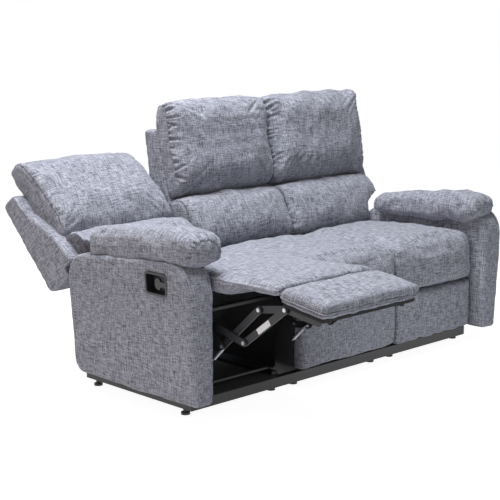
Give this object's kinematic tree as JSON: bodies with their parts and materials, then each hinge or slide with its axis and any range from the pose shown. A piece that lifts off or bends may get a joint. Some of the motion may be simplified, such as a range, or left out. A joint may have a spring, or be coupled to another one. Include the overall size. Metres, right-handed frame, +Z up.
{
  "type": "reclining sofa",
  "caption": "Upholstered sofa with a manual recliner at each end and a fixed middle place: tilting backs, footrests on scissor links, padded arms, steel base.",
  "frame": {"origin": "on the floor, below the centre of the sofa's bounding box as stored, with its left recliner laid back", "axes": "+X across the seats towards the closed recliner, +Y towards the backs, +Z up"},
  "size_m": [1.866, 1.6684, 1.075],
  "materials": {
    "upholstery": "woven, matte",
    "shell_cover": "woven, matte",
    "steel": "black satin",
    "board": "raw board",
    "plastic": "satin black"
  },
  "bodies": {
    "base": {"middle_base": "steel", "left_outer_rail": "steel", "left_inner_rail": "steel", "left_arm": "upholstery", "left_arm_pad": "upholstery", "left_handle_bezel": "plastic", "right_outer_rail": "steel", "right_inner_rail": "steel", "right_arm": "upholstery", "right_arm_pad": "upholstery", "right_handle_bezel": "plastic", "middle_seat_box": "shell_cover", "middle_seat_cushion": "upholstery", "middle_lumbar_cushion": "upholstery", "middle_head_cushion": "upholstery", "middle_back_shell": "shell_cover"},
    "left_seat": {"left_seat_deck": "board", "left_seat_cushion": "upholstery", "left_outer_seat_plate": "steel", "left_inner_seat_plate": "steel"},
    "left_lift_links": {"left_outer_lift_link": "steel", "left_inner_lift_link": "steel"},
    "left_guide_links": {"left_outer_guide_link": "steel", "left_inner_guide_link": "steel", "left_drive_shaft": "steel"},
    "left_rear_scissors": {"left_outer_rear_scissor_link": "steel", "left_inner_rear_scissor_link": "steel"},
    "left_front_scissors": {"left_outer_front_scissor_link": "steel", "left_inner_front_scissor_link": "steel"},
    "left_footrest": {"left_footrest_board": "board", "left_footrest_pad": "upholstery", "left_outer_footrest_bracket": "steel", "left_inner_footrest_bracket": "steel"},
    "left_flap": {"left_front_flap": "upholstery"},
    "left_back": {"left_back_shell": "shell_cover", "left_lumbar_cushion": "upholstery", "left_head_cushion": "upholstery"},
    "left_lever": {"left_release_lever": "plastic"},
    "right_seat": {"right_seat_deck": "board", "right_seat_cushion": "upholstery", "right_outer_seat_plate": "steel", "right_inner_seat_plate": "steel"},
    "right_lift_links": {"right_outer_lift_link": "steel", "right_inner_lift_link": "steel"},
    "right_guide_links": {"right_outer_guide_link": "steel", "right_inner_guide_link": "steel", "right_drive_shaft": "steel"},
    "right_rear_scissors": {"right_outer_rear_scissor_link": "steel", "right_inner_rear_scissor_link": "steel"},
    "right_front_scissors": {"right_outer_front_scissor_link": "steel", "right_inner_front_scissor_link": "steel"},
    "right_footrest": {"right_footrest_board": "board", "right_footrest_pad": "upholstery", "right_outer_footrest_bracket": "steel", "right_inner_footrest_bracket": "steel"},
    "right_flap": {"right_front_flap": "upholstery"},
    "right_back": {"right_back_shell": "shell_cover", "right_lumbar_cushion": "upholstery", "right_head_cushion": "upholstery"},
    "right_lever": {"right_release_lever": "plastic"}
  },
  "joints": [
    {"name": "left_back_recline", "type": "hinge", "parent": "left_seat", "child": "left_back", "pos_m": [-0.536, 0.19641, 0.465], "axis": [1, 0, 0], "range_deg": [0, 36]},
    {"name": "left_seat_glide", "type": "slide", "parent": "base", "child": "left_seat", "axis": [0, 0.9524, -0.3048], "range_m": [0, 0.13134]},
    {"name": "left_footrest_fold", "type": "hinge", "parent": "left_seat", "child": "left_lift_links", "pos_m": [-0.536, -0.20359, 0.37], "axis": [1, 0, 0], "range_deg": [0, 94.9]},
    {"name": "left_guide_pivot", "type": "hinge", "parent": "left_seat", "child": "left_guide_links", "pos_m": [-0.536, -0.12927, 0.35989], "axis": [1, 0, 0], "range_deg": [0, 94.95]},
    {"name": "left_rear_scissor_pivot", "type": "hinge", "parent": "left_lift_links", "child": "left_rear_scissors", "pos_m": [-0.536, -0.32259, 0.27869], "axis": [1, 0, 0], "range_deg": [-100.45, 0]},
    {"name": "left_front_scissor_pivot", "type": "hinge", "parent": "left_lift_links", "child": "left_front_scissors", "pos_m": [-0.536, -0.43442, 0.31202], "axis": [1, 0, 0], "range_deg": [-100.95, 0]},
    {"name": "left_footrest_pivot", "type": "hinge", "parent": "left_front_scissors", "child": "left_footrest", "pos_m": [-0.536, -0.62981, 0.46033], "axis": [1, 0, 0], "range_deg": [0, 88.05]},
    {"name": "left_flap_turn", "type": "hinge", "parent": "left_seat", "child": "left_flap", "pos_m": [-0.536, -0.39859, 0.555], "axis": [1, 0, 0], "range_deg": [0, 90.05], "deforming": ["left_front_flap"]},
    {"name": "left_lever_pull", "type": "hinge", "parent": "base", "child": "left_lever", "pos_m": [-0.90061, -0.18859, 0.49863], "axis": [-0.0701, 0, 0.9975], "range_deg": [0, 35], "stiffness_Nm_per_rad": 0.4},
    {"name": "right_back_recline", "type": "hinge", "parent": "right_seat", "child": "right_back", "pos_m": [0.536, 0.32141, 0.425], "axis": [1, 0, 0], "range_deg": [-36, 0]},
    {"name": "right_seat_glide", "type": "slide", "parent": "base", "child": "right_seat", "axis": [0, 0.9524, -0.3048], "range_m": [-0.13134, 0]},
    {"name": "right_footrest_fold", "type": "hinge", "parent": "right_seat", "child": "right_lift_links", "pos_m": [0.536, -0.07859, 0.33], "axis": [1, 0, 0], "range_deg": [-94.9, 0]},
    {"name": "right_guide_pivot", "type": "hinge", "parent": "right_seat", "child": "right_guide_links", "pos_m": [0.536, -0.00427, 0.31989], "axis": [1, 0, 0], "range_deg": [-94.95, 0]},
    {"name": "right_rear_scissor_pivot", "type": "hinge", "parent": "right_lift_links", "child": "right_rear_scissors", "pos_m": [0.536, 0.02256, 0.21923], "axis": [1, 0, 0], "range_deg": [0, 100.45]},
    {"name": "right_front_scissor_pivot", "type": "hinge", "parent": "right_lift_links", "child": "right_front_scissors", "pos_m": [0.536, -0.0011, 0.10497], "axis": [1, 0, 0], "range_deg": [0, 100.95]},
    {"name": "right_footrest_pivot", "type": "hinge", "parent": "right_front_scissors", "child": "right_footrest", "pos_m": [0.536, -0.17992, 0.27289], "axis": [1, 0, 0], "range_deg": [-88.05, 0]},
    {"name": "right_flap_turn", "type": "hinge", "parent": "right_seat", "child": "right_flap", "pos_m": [0.536, -0.27359, 0.515], "axis": [1, 0, 0], "range_deg": [-90.05, 0], "deforming": ["right_front_flap"]},
    {"name": "right_lever_pull", "type": "hinge", "parent": "base", "child": "right_lever", "pos_m": [0.90061, -0.18859, 0.49863], "axis": [0.0701, 0, 0.9975], "range_deg": [-35, 0], "stiffness_Nm_per_rad": 0.4}
  ],
  "couplings": [
    {"joint": "left_seat_glide", "follows": "left_back_recline", "m_per_rad": 0.20888},
    {"joint": "left_guide_pivot", "follows": "left_footrest_fold", "ratio": 1},
    {"joint": "left_rear_scissor_pivot", "follows": "left_footrest_fold", "ratio": -1.058},
    {"joint": "left_front_scissor_pivot", "follows": "left_footrest_fold", "ratio": -1.0632},
    {"joint": "left_footrest_pivot", "follows": "left_footrest_fold", "ratio": 0.92729},
    {"joint": "left_flap_turn", "follows": "left_footrest_fold", "ratio": 0.94837},
    {"joint": "right_seat_glide", "follows": "right_back_recline", "m_per_rad": 0.20888},
    {"joint": "right_guide_pivot", "follows": "right_footrest_fold", "ratio": 1},
    {"joint": "right_rear_scissor_pivot", "follows": "right_footrest_fold", "ratio": -1.058},
    {"joint": "right_front_scissor_pivot", "follows": "right_footrest_fold", "ratio": -1.0632},
    {"joint": "right_footrest_pivot", "follows": "right_footrest_fold", "ratio": 0.92729},
    {"joint": "right_flap_turn", "follows": "right_footrest_fold", "ratio": 0.94837}
  ]
}
